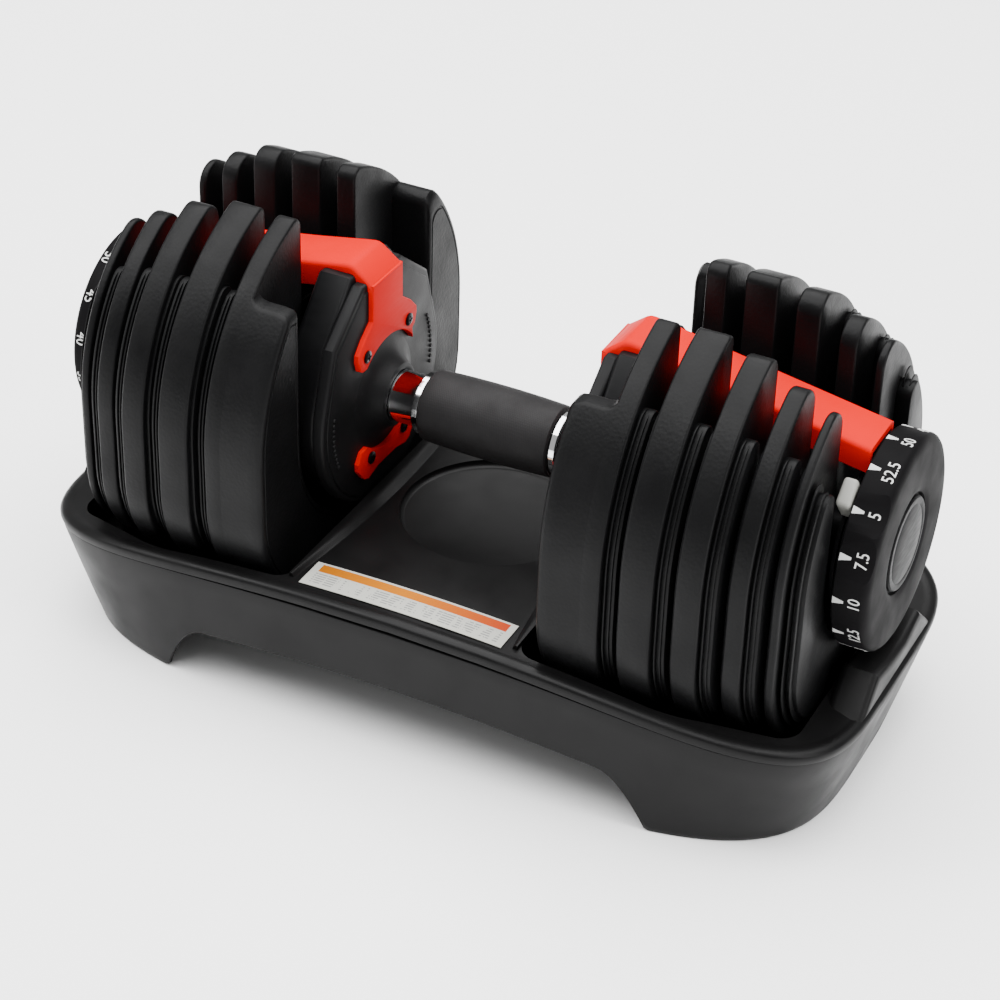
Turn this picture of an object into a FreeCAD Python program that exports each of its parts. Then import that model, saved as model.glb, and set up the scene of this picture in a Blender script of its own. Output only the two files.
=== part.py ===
# Adjustable dumbbell in its storage base, as a parametric document.
#
# Frame: X runs along the handle (left end is -X), -Y is the front, +Z is up.
# The origin is on the floor under the middle of the base.  Units are millimetres.
#
# The dumbbell lies in the base with both dials at the lightest setting: the handle
# is free to lift out, and all ten weight plates stay behind.

import FreeCAD, Part
import math
import os
import re
import Sketcher

V = FreeCAD.Vector
doc = FreeCAD.newDocument("adjustable_dumbbell")

# ---------------------------------------------------------------- driving sizes

SIZES = {
    # handle and its axis
    "axis_height": 123.7,
    "grip_half": 33.0,
    "grip_end_radius": 16.9,
    "grip_mid_radius": 17.8,
    "collar_radius": 12.5,
    "flange_radius": 15.0,
    "flange_width": 4.0,
    "collar_end": 50.0,
    "tube_radius": 8.0,
    "tube_half": 196.0,
    "running_gap": 0.06,
    # hand guard, the housing behind it and the red straps
    "guard_in": 59.0,
    "guard_out": 66.0,
    "guard_radius": 55.0,
    "guard_head": 64.0,
    "boss_small": 15.0,
    "boss_large": 23.0,
    "housing_out": 83.0,
    "housing_radius": 52.0,
    "housing_head": 69.0,
    "strap_half": 14.0,
    "strap_face_top": 62.0,
    "strap_bend_top": 70.5,
    "strap_bend_at": 68.0,
    "strap_mid_top": 65.0,
    "strap_mid_at": 100.0,
    "strap_end_top": 51.0,
    "strap_end": 183.0,
    "strap_wall": 3.0,
    "strap_skirt": 12.0,
    "strap_seat": 49.0,
    "strap_face": 2.2,
    "screw_radius": 3.2,
    "screw_head": 1.2,
    # end plate, pointer pin and dial
    "end_in": 180.6,
    "end_out": 183.2,
    "end_radius": 37.0,
    "dial_in": 183.7,
    "dial_out": 200.0,
    "dial_radius": 49.5,
    "dial_wall": 3.2,
    "cap_radius": 23.0,
    "cap_depth": 2.6,
    "sleeve_radius": 11.0,
    "sleeve_in": 84.0,
    "pin_width": 12.0,
    "pin_inner": 33.0,
    "pin_outer": 51.0,
    "pin_depth": 4.0,
    "scoop_radius": 30.0,
    "scoop_at": 78.0,
    # weight plates
    "plate_rise": 3.9,
    "plate_bottom": 40.0,
    "corner_round": 60.0,
    "slot_half": 24.0,
    "recess_half": 38.5,
    "recess_depth": 6.6,
    "guard_slot": 60.0,
    "thick_out": 89.0,
    "thick_top": 71.0,
    "rim_step": 4.0,
    "step_width": 4.5,
    "core_skin": 2.0,
    "core_inset": 7.0,
    # selector discs and the lug each plate hangs by
    "disc_radius": 36.5,
    "disc_rim": 3.5,
    "disc_web": 1.6,
    "disc_width": 5.0,
    "lug_out": 31.8,
    "lug_in": 26.5,
    "lug_half": 4.0,
    "lug_length": 3.0,
    # base
    "base_half": 213.0,
    "base_width": 103.0,
    "foot_half": 191.0,
    "foot_width": 98.0,
    "deck_height": 76.0,
    "deck_end_height": 54.0,
    "tray_depth": 6.0,
    "wall": 3.0,
    "pocket_in": 57.5,
    "pocket_out": 182.5,
    "pocket_half": 92.5,
    "pocket_end_half": 73.5,
    "pocket_round": 9.0,
    "rack_floor": 36.6,
    "foot_floor": 3.0,
    "arch_height": 31.0,
    "arch_rise": 6.0,
    "arch_top_half": 117.0,
    "arch_foot_half": 139.0,
    "dish_radius": 45.0,
    "dish_depth": 4.0,
    "lip_width": 6.0,
    "lip_half": 88.0,
    "lip_top": 77.0,
    "pedestal_out": 203.0,
    "pedestal_top": 72.0,
    "rack_wall": 3.0,
    "rack_overlap": 4.0,
    "rib_half": 62.0,
    "rib_height": 16.0,
    "fit_gap": 0.4,
    "pad_along": 150.0,
    "pad_across": 66.0,
    "pad_radius": 9.0,
    "label_half": 51.0,
    "label_front": -93.0,
    "label_back": -75.0,
}

# Each plate, from the handle outwards: inner face, outer face, outline radius.
PLATES = [(67.7, 103.2, 96.0), (105.0, 127.4, 96.0), (129.2, 148.0, 94.0),
          (150.0, 165.6, 87.0), (167.5, 180.0, 80.5)]
for number, (plate_in, plate_out, plate_radius) in enumerate(PLATES, start=1):
    SIZES[f"plate_{number}_in"] = plate_in
    SIZES[f"plate_{number}_out"] = plate_out
    SIZES[f"plate_{number}_radius"] = plate_radius

# The fifteen dial settings in order, each with the plates that it picks up.
SETTINGS = [("5", ""), ("7.5", "5"), ("10", "4"), ("12.5", "45"), ("15", "3"),
            ("17.5", "35"), ("20", "2"), ("22.5", "25"), ("25", "24"), ("30", "23"),
            ("35", "12"), ("40", "124"), ("45", "123"), ("50", "1234"), ("52.5", "12345")]
STEP = 24.0
SIDES = {"left": -1, "right": 1}
# Where the lightest setting stands on each dial, in degrees up from the front.
FIRST_MARK = {"left": 111.0, "right": 44.0}
POINTER_ANGLE = {"left": 122.0, "right": 51.0}

sheet = doc.addObject("Spreadsheet::Sheet", "Sizes")
for row, (alias, value) in enumerate(SIZES.items(), start=1):
    sheet.set(f"A{row}", alias)
    sheet.set(f"B{row}", str(value))
    sheet.setAlias(f"B{row}", alias)
doc.recompute()

WORD = re.compile(r"[a-z][a-z_0-9]*[a-z0-9]")
NODES = []


def cells(expression):
    """An expression with every alias read from the sheet."""
    def name_cell(match):
        return "Sizes." + match.group(0) if match.group(0) in SIZES else match.group(0)
    return WORD.sub(name_cell, expression)


def value_of(expression):
    """The number that an expression stands for now."""
    return float(sheet.evalExpression(cells(expression)))


def bind(thing, **expressions):
    for name, expression in expressions.items():
        thing.setExpression(name, cells(expression))


def bind_base(thing, x_at, y_at, z_at):
    thing.setExpression("Placement.Base.x", cells(x_at))
    thing.setExpression("Placement.Base.y", cells(y_at))
    thing.setExpression("Placement.Base.z", cells(z_at))


def keep(thing, label):
    """Make an object one of the part's sub-parts."""
    thing.Label = label
    NODES.append(thing)
    return thing


# ---------------------------------------------------------------- shape builders

ALONG_X = FreeCAD.Rotation(V(0, 1, 0), 90)


def start_of(side, low, high):
    return low if side > 0 else f"-({high})"


def rod(side, low, high, radius, y_at="0", z_at="axis_height", turn=0.0, sweep=360.0):
    """A cylinder along X between two distances from the middle."""
    thing = doc.addObject("Part::Cylinder", "Rod")
    thing.Placement = FreeCAD.Placement(V(), ALONG_X * FreeCAD.Rotation(V(0, 0, 1), turn))
    bind(thing, Radius=radius, Height=f"({high}) - ({low})")
    thing.Angle = sweep
    bind_base(thing, start_of(side, low, high), y_at, z_at)
    return thing


def cone(side, low, high, low_radius, high_radius):
    thing = doc.addObject("Part::Cone", "Cone")
    thing.Placement = FreeCAD.Placement(V(), ALONG_X)
    first, second = (low_radius, high_radius) if side > 0 else (high_radius, low_radius)
    bind(thing, Radius1=first, Radius2=second, Height=f"({high}) - ({low})")
    bind_base(thing, start_of(side, low, high), "0", "axis_height")
    return thing


def block(side, low, high, front, back, bottom, top):
    thing = doc.addObject("Part::Box", "Block")
    bind(thing, Length=f"({high}) - ({low})", Width=f"({back}) - ({front})",
         Height=f"({top}) - ({bottom})")
    bind_base(thing, start_of(side, low, high), front, bottom)
    return thing


def fuse(*things):
    if len(things) == 1:
        return things[0]
    joined = doc.addObject("Part::MultiFuse", "Joined")
    joined.Shapes = list(things)
    return joined


def cut(base, *tools):
    result = doc.addObject("Part::Cut", "Cut")
    result.Base = base
    result.Tool = fuse(*tools)
    return result


def origin_plane(body, role):
    return [item for item in body.Origin.OriginFeatures if item.Role == role][0]


def outline_sketch(body, plane, points, offset="0"):
    """A closed outline of straight sides, each corner held by two sheet dimensions."""
    sketch = body.newObject("Sketcher::SketchObject", "Outline")
    sketch.AttachmentSupport = [(origin_plane(body, plane), "")]
    sketch.MapMode = "FlatFace"
    sketch.setExpression("AttachmentOffset.Base.z", cells(offset))
    corners = [V(value_of(across), value_of(up), 0) for across, up in points]
    count = len(corners)
    for index in range(count):
        sketch.addGeometry(Part.LineSegment(corners[index], corners[(index + 1) % count]), False)
    for index in range(count):
        sketch.addConstraint(Sketcher.Constraint("Coincident", index, 2, (index + 1) % count, 1))
    for index, (across, up) in enumerate(points):
        for kind, expression, number in (("DistanceX", across, corners[index].x),
                                         ("DistanceY", up, corners[index].y)):
            held = sketch.addConstraint(Sketcher.Constraint(kind, -1, 1, index, 1, number))
            sketch.setExpression(f"Constraints[{held}]", cells(expression))
    return sketch


def prism(side, low, high, points):
    """A straight-sided outline in the YZ plane, padded along X."""
    body = doc.addObject("PartDesign::Body", "Prism")
    sketch = outline_sketch(body, "YZ_Plane", points, start_of(side, low, high))
    pad = body.newObject("PartDesign::Pad", "Pad")
    pad.Profile = sketch
    bind(pad, Length=f"({high}) - ({low})")
    return body


def turned(side, points):
    """A profile of (distance along X, radius) turned about the handle's axis."""
    body = doc.addObject("PartDesign::Body", "Turned")
    signed = [(f"{side} * ({along})", radius) for along, radius in points]
    sketch = outline_sketch(body, "XZ_Plane", signed)
    turn = body.newObject("PartDesign::Revolution", "Turn")
    turn.Profile = sketch
    turn.ReferenceAxis = (origin_plane(body, "X_Axis"), [""])
    turn.Angle = 360.0
    bind_base(body, "0", "0", "axis_height")
    return body


def mirrored_points(points):
    """Points given for the back half, with the front half added."""
    front = [(f"-({across})", up) for across, up in reversed(points)]
    return points + front


# ---------------------------------------------------------------- handle

def make_grip():
    steps = 6
    profile = []
    for index in range(steps + 1):
        share = 2.0 * index / steps - 1.0
        profile.append((f"{share} * grip_half",
                        f"grip_mid_radius - (grip_mid_radius - grip_end_radius) * {share * share}"))
    bore = "tube_radius + running_gap"
    profile += [("grip_half", bore), ("-grip_half", bore)]
    keep(turned(1, profile), "rubber_grip")
    keep(rod(1, "-tube_half", "tube_half", "tube_radius"), "handle_tube")


def make_collar(name, side):
    bore = rod(side, "grip_half - 1", "collar_end + 1", "tube_radius + running_gap")
    ring = rod(side, "grip_half + 0.1", "collar_end - 0.1", "collar_radius")
    flange = rod(side, "grip_half + 0.1", "grip_half + flange_width", "flange_radius")
    keep(cut(fuse(ring, flange), bore), f"{name}_collar")


def guard_outline(radius, head):
    """Half of a guard's straight-sided head, above the round lower part."""
    return mirrored_points([("18", f"axis_height + {head}"),
                            (f"{radius} * 0.80", f"axis_height + {radius} * 0.78"),
                            (f"{radius} * 0.95", f"axis_height + {radius} * 0.30"),
                            (f"{radius} * 0.5", "axis_height")])


def make_guard(name, side):
    face = fuse(rod(side, "guard_in", "guard_out", "guard_radius"),
                prism(side, "guard_in", "guard_out", guard_outline("guard_radius", "guard_head")),
                cone(side, "collar_end", "guard_in + 1", "boss_small", "boss_large"))
    bore = rod(side, "collar_end - 1", "guard_out + 1", "tube_radius + running_gap")
    strap_seat = block(side, "guard_in - 1", "housing_out + 1", "-strap_half", "strap_half",
                       "axis_height + strap_seat", "axis_height + strap_bend_top + 1")
    keep(cut(face, bore, strap_seat), f"{name}_guard")
    housing = fuse(rod(side, "guard_out", "housing_out", "housing_radius"),
                   prism(side, "guard_out", "housing_out",
                         guard_outline("housing_radius", "housing_head")))
    inner_bore = rod(side, "guard_out - 1", "housing_out + 1", "tube_radius + running_gap")
    keep(cut(housing, inner_bore, strap_seat), f"{name}_housing")


def bridge_side_view(side, low_drop, high_drop):
    """The bridge from the front: its top line and a lower line a given drop below."""
    top = [("guard_in - strap_face", "strap_face_top"), ("strap_bend_at", "strap_bend_top"),
           ("strap_mid_at", "strap_mid_top"), ("strap_end", "strap_end_top")]
    upper = [(f"{side} * ({along})", f"axis_height + {up} - ({low_drop})") for along, up in top]
    lower = [(f"{side} * ({along})", f"axis_height + {up} - ({high_drop})")
             for along, up in reversed(top)]
    return upper + lower


def long_profile(side, half_width, low_drop, high_drop):
    body = doc.addObject("PartDesign::Body", "Side")
    sketch = outline_sketch(body, "XZ_Plane", bridge_side_view(side, low_drop, high_drop))
    pad = body.newObject("PartDesign::Pad", "Pad")
    pad.Profile = sketch
    pad.Midplane = True
    bind(pad, Length=f"2 * ({half_width})")
    return body


def make_bridge(name, side):
    """The red strap: a face plate on the guard with two ears, and a channel to the dial.

    The channel starts at the face plate, rises over the guard's head and then slopes
    down towards the dial.
    """
    channel = cut(long_profile(side, "strap_half", "0", "strap_skirt"),
                  long_profile(side, "strap_half - strap_wall", "strap_wall", "strap_skirt + 1"))
    face = prism(side, "guard_in - strap_face", "guard_in", mirrored_points([
        ("strap_half", "axis_height + strap_face_top"),
        ("strap_half", "axis_height + 44"),
        ("28", "axis_height + 34"),
        ("27", "axis_height + 23"),
        ("20", "axis_height + 23"),
        ("11", "axis_height + 33")]))
    keep(fuse(channel, face), f"{name}_bridge")


def make_clamp(name, side):
    """The red piece under the boss, with two screws."""
    plate = prism(side, "guard_in - strap_face", "guard_in", mirrored_points([
        ("8", "axis_height - 24"), ("22", "axis_height - 20"), ("27", "axis_height - 29"),
        ("20", "axis_height - 37"), ("8", "axis_height - 34")]))
    keep(plate, f"{name}_clamp")


SCREWS = [("19.7", "28.9"), ("-19.7", "28.9"), ("15.75", "-27.9"), ("-15.75", "-27.9")]


def make_guard_screws():
    heads = []
    for side in SIDES.values():
        for across, up in SCREWS:
            heads.append(rod(side, "guard_in - strap_face - screw_head", "guard_in - strap_face",
                             "screw_radius", across, f"axis_height + {up}"))
    group = doc.addObject("Part::Compound", "Screws")
    group.Links = heads
    keep(group, "guard_screws")


def polar(angle, radius):
    """Y and Z, from the axis, of a point a number of degrees up from the front."""
    turn = math.radians(angle)
    return -radius * math.cos(turn), radius * math.sin(turn)


def make_end_plate(name, side):
    """The plate inside the dial that carries the bridge's outer end."""
    disc = rod(side, "end_in", "end_out", "end_radius")
    tongue = block(side, "end_in", "end_out", "-strap_half + strap_wall + 0.1",
                   "strap_half - strap_wall - 0.1", "axis_height",
                   "axis_height + strap_end_top - strap_wall - 0.1")
    bore = rod(side, "end_in - 1", "end_out + 1", "sleeve_radius + 0.3")
    keep(cut(fuse(disc, tongue), bore), f"{name}_end_plate")


def make_pointer(name, side):
    """The pale pin beside the dial's edge that marks the chosen setting."""
    pin = doc.addObject("Part::Feature", "Pointer")
    width, inner, outer = value_of("pin_width"), value_of("pin_inner"), value_of("pin_outer")
    low, high = value_of("end_in - pin_depth"), value_of("end_out")
    bar = Part.makeBox(high - low, width, outer - inner, V(low, -width / 2.0, inner))
    outward = [edge for edge in bar.Edges
               if edge.BoundBox.XLength < 0.1 and edge.BoundBox.YLength < 0.1]
    bar = bar.makeFillet(2.0, outward)
    bar = bar.cut(Part.makeCylinder(value_of("end_radius"), 20.0, V(low - 5.0, 0, 0), V(1, 0, 0)))
    bar.rotate(V(), V(1, 0, 0), 90.0 - POINTER_ANGLE[name])
    if side < 0:
        bar = bar.mirror(V(), V(1, 0, 0))
    pin.Shape = bar
    bind_base(pin, "0", "0", "axis_height")
    keep(pin, f"{name}_pointer")


# ---------------------------------------------------------------- dials and selectors

def make_dial(name, side):
    """The knob: a ring round the end plate's edge, a face, and a recess for the cap."""
    ring_inner = "dial_radius - dial_wall"
    profile = [("dial_in", ring_inner), ("dial_in", "dial_radius"),
               ("dial_out - 2.5", "dial_radius"), ("dial_out", "dial_radius - 2.5"),
               ("dial_out", "cap_radius"), ("dial_out - cap_depth", "cap_radius"),
               ("dial_out - cap_depth", "tube_radius + running_gap"),
               ("dial_in", "tube_radius + running_gap"), ("dial_in", "sleeve_radius + 4"),
               ("dial_out - 6", "sleeve_radius + 4"), ("dial_out - 6", ring_inner)]
    knob = turned(side, profile)
    scoops = []
    for index in (0, 1):
        angle = FIRST_MARK[name] - side * STEP * index
        across, up = polar(angle, value_of("scoop_at"))
        scoops.append(rod(side, "dial_in + 4", "dial_out + 1", "scoop_radius", str(across),
                          f"axis_height + {up}"))
    keep(cut(knob, *scoops), f"{name}_dial")
    cap = rod(side, "dial_out - cap_depth", "dial_out + 0.4", "cap_radius - 0.3")
    keep(cap, f"{name}_dial_cap")


def picked_runs(plate):
    """Runs of neighbouring settings that pick up a plate, as first and last index."""
    runs = []
    for index, (_, picked) in enumerate(SETTINGS):
        if str(plate) not in picked:
            continue
        if runs and runs[-1][1] == index - 1:
            runs[-1][1] = index
        else:
            runs.append([index, index])
    return runs


def make_disc(name, side, plate):
    """A selector disc: a web on the sleeve, with rim arcs that pass under the lug."""
    high = f"plate_{plate}_out - 0.4"
    low = f"{high} - disc_width"
    web = rod(side, f"{high} - disc_web", high, "disc_radius")
    arcs = []
    for first, last in picked_runs(plate):
        sweep = STEP * (last - first + 1)
        turn = STEP * first - STEP / 2 if side > 0 else -STEP * last - STEP / 2
        arcs.append(rod(side, low, f"{high} - disc_web / 2", "disc_radius", turn=turn, sweep=sweep))
    rim = cut(fuse(*arcs), rod(side, f"{low} - 1", high, "disc_radius - disc_rim"))
    hub = rod(side, low, high, "sleeve_radius + 3")
    bore = rod(side, f"{low} - 1", f"{high} + 1", "sleeve_radius")
    keep(cut(fuse(web, rim, hub), bore), f"{name}_disc_{plate}")


def make_sleeve(name, side):
    outer = rod(side, "sleeve_in", "dial_in", "sleeve_radius")
    bore = rod(side, "sleeve_in - 1", "dial_in + 1", "tube_radius + running_gap")
    keep(cut(outer, bore), f"{name}_sleeve")


# ---------------------------------------------------------------- weight plates

def plate_solid(side, low, high, radius, inset="0"):
    """A plate's outline: round above, with a flat bottom and round lower corners."""
    reach = f"{radius} - {inset}"
    crown = rod(side, low, high, reach, "0", "axis_height + plate_rise", turn=90.0, sweep=180.0)
    corner = f"corner_round * {radius} / 96"
    corner_up = f"plate_bottom + {corner}"
    lower = [crown]
    for sign in ("", "-"):
        lower.append(rod(side, low, high, f"{corner} - {inset}",
                         f"{sign}({radius} - {corner})", corner_up))
    lower.append(block(side, low, high, f"-({reach})", reach, corner_up,
                       "axis_height + plate_rise"))
    lower.append(block(side, low, high, f"-({radius} - {corner})", f"{radius} - {corner}",
                       f"plate_bottom + {inset}", "axis_height"))
    return fuse(*lower)


def slot_tool(side, low, high, half):
    """A slot open at the top, with a round end about the handle's axis."""
    return fuse(rod(side, low, high, half),
                block(side, low, high, f"-({half})", half, "axis_height", "axis_height + 110"))


def core_solid(side, plate):
    """The steel inside a plate's moulded cover."""
    low = f"plate_{plate}_in + core_skin"
    if plate == 1:
        low = "thick_out + core_skin - 1"
    high = f"plate_{plate}_out - recess_depth - core_skin + 0.4"
    radius = f"plate_{plate}_radius"
    return cut(plate_solid(side, low, high, radius, "core_inset"),
               slot_tool(side, f"{low} - 1", f"{high} + 1", "slot_half + core_inset - 3"))


def make_plate(name, side, plate):
    low, high, radius = f"plate_{plate}_in", f"plate_{plate}_out", f"plate_{plate}_radius"
    rim = plate_solid(side, low, f"{high} - step_width", radius)
    step = plate_solid(side, f"{high} - step_width", high, radius, "rim_step")
    tools = [slot_tool(side, f"{high} - recess_depth", f"{high} + 1", "recess_half")]
    if plate == 1:
        tools.append(slot_tool(side, f"{low} - 1", "thick_out", "guard_slot"))
        tools.append(slot_tool(side, "thick_out - 1", f"{high} + 1", "slot_half"))
        tools.append(block(side, f"{low} - 1", "thick_out", "-120", "0",
                           "axis_height + thick_top", "axis_height + 110"))
    else:
        tools.append(slot_tool(side, f"{low} - 1", f"{high} + 1", "slot_half"))
    shell = cut(fuse(rim, step), *tools)
    seat = f"{high} - recess_depth"
    lug = block(side, f"{seat} - 0.5", f"{seat} + lug_length", "-lug_half", "lug_half",
                "axis_height - lug_out", "axis_height - lug_in")
    keep(cut(fuse(shell, lug), core_solid(side, plate)), f"{name}_plate_{plate}")
    keep(core_solid(side, plate), f"{name}_core_{plate}")


# ---------------------------------------------------------------- base

def rounded_outline(half_length, half_width, power, height):
    """A rounded rectangle from one formula, as a smooth closed curve."""
    points = []
    count = 64
    for index in range(count):
        turn = 2.0 * math.pi * (index + 0.5) / count
        along, across = math.cos(turn), math.sin(turn)
        points.append(V(half_length * math.copysign(abs(along) ** (2.0 / power), along),
                        half_width * math.copysign(abs(across) ** (2.0 / power), across), height))
    curve = Part.BSplineCurve()
    curve.interpolate(points, PeriodicFlag=True)
    return Part.Wire([curve.toShape()])


def flared_solid(inset):
    """The base's outside, or its inside for an inset, from the floor to above the deck."""
    drop = value_of("deck_height") + 10.0
    foot = rounded_outline(value_of("foot_half") - inset, value_of("foot_width") - inset, 3.8, 0.0)
    rim = rounded_outline(value_of("base_half") - inset, value_of("base_width") - inset, 5.3, drop)
    return Part.makeLoft([foot, rim], True)


def below_dome(drop):
    """Everything under the deck's gentle arch, lowered by a drop."""
    top = value_of("deck_height") - drop
    end = value_of("deck_end_height") - drop
    half = value_of("base_half") + 5.0
    arc = Part.Arc(V(half, 0, end), V(0, 0, top), V(-half, 0, end)).toShape()
    sides = Part.makePolygon([V(-half, 0, end), V(-half, 0, -20), V(half, 0, -20), V(half, 0, end)])
    face = Part.Face(Part.Wire([arc] + sides.Edges))
    face.translate(V(0, -150, 0))
    return face.extrude(V(0, 300, 0))


def pocket_tool(side):
    """The opening in the deck for one end's plates, narrower towards the dial."""
    low, high = value_of("pocket_in"), value_of("pocket_out")
    half, end_half = value_of("pocket_half"), value_of("pocket_end_half")
    bend = value_of("plate_3_in")
    back = [V(low, half, 0), V(bend, half, 0), V(high, end_half, 0)]
    front = [V(point.x, -point.y, 0) for point in reversed(back)]
    corners = back + front
    tool = Part.Face(Part.makePolygon(corners + corners[:1])).extrude(V(0, 0, 200))
    upright = [edge for edge in tool.Edges if edge.BoundBox.ZLength > 100]
    tool = tool.makeFillet(value_of("pocket_round"), upright)
    return tool if side > 0 else tool.mirror(V(), V(1, 0, 0))


def arch_tool():
    """The opening under the front and back, between the feet."""
    foot, top = value_of("arch_foot_half"), value_of("arch_top_half")
    height, rise = value_of("arch_height"), value_of("arch_rise")
    sides = Part.makePolygon([V(-top, 0, height), V(-foot, 0, 0), V(-foot, 0, -1), V(foot, 0, -1),
                              V(foot, 0, 0), V(top, 0, height)])
    arc = Part.Arc(V(top, 0, height), V(0, 0, height + rise), V(-top, 0, height)).toShape()
    face = Part.Face(Part.Wire([arc] + sides.Edges))
    face.translate(V(0, -150, 0))
    return face.extrude(V(0, 300, 0))


def feature(label, shape):
    thing = doc.addObject("Part::Feature", label)
    thing.Shape = shape.removeSplitter()
    thing.Placement = FreeCAD.Placement()
    return keep(thing, label)


def side_box(side, low, high, half, bottom, top):
    """A box on one side of the middle, as deep to the front as to the back."""
    start = low if side > 0 else -high
    return Part.makeBox(high - low, 2.0 * half, top - bottom, V(start, -half, bottom))


def pedestal(side):
    """The faceted block under a dial."""
    low, high = value_of("pocket_out") + 1.5, value_of("pedestal_out")
    foot_z, top_z = value_of("deck_end_height") + 1.0, value_of("pedestal_top")
    corners = [V(low, -46, foot_z), V(low, 46, foot_z), V(low, 27, top_z), V(low, 9, top_z - 5),
               V(low, -9, top_z - 5), V(low, -27, top_z)]
    block_shape = Part.Face(Part.makePolygon(corners + corners[:1])).extrude(V(high - low, 0, 0))
    return block_shape if side > 0 else block_shape.mirror(V(), V(1, 0, 0))


def make_base():
    wall, depth = value_of("wall"), value_of("tray_depth")
    outside = flared_solid(0.0)
    tray = outside.common(below_dome(0.0)).cut(below_dome(depth))
    skirt = outside.common(below_dome(depth)).cut(flared_solid(wall)).cut(arch_tool())
    foot_low, foot_floor = value_of("arch_foot_half"), value_of("foot_floor")
    for side in SIDES.values():
        floor = side_box(side, foot_low, foot_low + 80.0, 150.0, foot_floor, foot_floor + wall)
        skirt = skirt.fuse(floor.common(flared_solid(wall / 2.0)))
    dish_floor = V(0, 0, value_of("deck_height") - value_of("dish_depth"))
    tray = tray.cut(Part.makeCylinder(value_of("dish_radius"), 20.0, dish_floor))
    lip_high, lip_top = value_of("pocket_in"), value_of("lip_top")
    lip_low = lip_high - value_of("lip_width")
    for side in SIDES.values():
        lip = side_box(side, lip_low, lip_high, value_of("lip_half"), lip_top - depth, lip_top)
        tray = tray.fuse(lip).fuse(pedestal(side))
        tray = tray.cut(pocket_tool(side))
    feature("tray_top", tray)
    feature("base_skirt", skirt)


def make_rack(name, side):
    """The floor that one end's plates stand on: end walls, and ribs that keep them apart."""
    overlap, thick, gap = value_of("rack_overlap"), value_of("rack_wall"), value_of("fit_gap")
    low, high = value_of("pocket_in") - overlap, value_of("pocket_out") + overlap
    floor, rib_half = value_of("rack_floor"), value_of("rib_half")
    rack = side_box(side, low, high, 100.0, floor, floor + thick)
    for wall_low in (low, high - thick):
        rack = rack.fuse(side_box(side, wall_low, wall_low + thick, 100.0, floor, floor + 60.0))
    rib_top = floor + value_of("rib_height")
    for plate in range(1, 5):
        rib_low = value_of(f"plate_{plate}_out") + gap
        rib_high = value_of(f"plate_{plate + 1}_in") - gap
        rack = rack.fuse(side_box(side, rib_low, rib_high, rib_half, floor + thick / 2.0, rib_top))
    rack = rack.common(flared_solid(value_of("wall") + gap))
    rack = rack.common(below_dome(value_of("tray_depth") + gap))
    feature(f"{name}_rack", rack)


def make_feet():
    pads = []
    radius, height = value_of("pad_radius"), value_of("foot_floor")
    for along in (-value_of("pad_along"), value_of("pad_along")):
        for across in (-value_of("pad_across"), value_of("pad_across")):
            pads.append(Part.makeCylinder(radius, height, V(along, across, 0.0)))
    thing = doc.addObject("Part::Feature", "Feet")
    thing.Shape = Part.makeCompound(pads)
    thing.Placement = FreeCAD.Placement()
    keep(thing, "rubber_feet")


def make_label():
    """The printed strip on the deck's front edge, bent with the deck."""
    half = value_of("label_half")
    strip = Part.makeBox(2 * half, value_of("label_back") - value_of("label_front"), 200,
                         V(-half, value_of("label_front"), 0))
    sheet_shape = below_dome(-0.3).cut(below_dome(0.0)).common(strip)
    feature("tray_label", sheet_shape)


# ---------------------------------------------------------------- assembly

make_grip()
for side_name, side_sign in SIDES.items():
    make_collar(side_name, side_sign)
    make_guard(side_name, side_sign)
    make_bridge(side_name, side_sign)
    make_clamp(side_name, side_sign)
    make_end_plate(side_name, side_sign)
    make_pointer(side_name, side_sign)
    make_dial(side_name, side_sign)
    make_sleeve(side_name, side_sign)
    for plate_number in range(1, 6):
        make_disc(side_name, side_sign, plate_number)
        make_plate(side_name, side_sign, plate_number)
    make_rack(side_name, side_sign)
make_guard_screws()
make_base()
make_feet()
make_label()

doc.recompute()

# ---------------------------------------------------------------- checks and files

failed = [thing.Label for thing in doc.Objects if {"Invalid", "Error"} & set(thing.State)]
if failed:
    raise RuntimeError("objects that did not compute: " + ", ".join(failed))
for node in NODES:
    if node.Shape.isNull() or not node.Shape.isValid() or not node.Shape.Solids:
        raise RuntimeError("no valid solid in " + node.Label)

os.makedirs("parts", exist_ok=True)
for node in NODES:
    node.Shape.exportStep(os.path.join("parts", node.Label + ".step"))
    print(f"{node.Label:22s} solids {len(node.Shape.Solids)}  volume {node.Shape.Volume:.0f}")
print(len(NODES), "nodes")
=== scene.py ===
# The finished look of the adjustable dumbbell in its storage base.
#
# Lengths in the tables below are in millimetres.  Heights called "up" are measured from
# the handle's axis; X runs along the handle, -Y is the front and +Z is up.

import bmesh
import bpy
import math
from mathutils import Matrix, Vector
from mathutils.bvhtree import BVHTree


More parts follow.
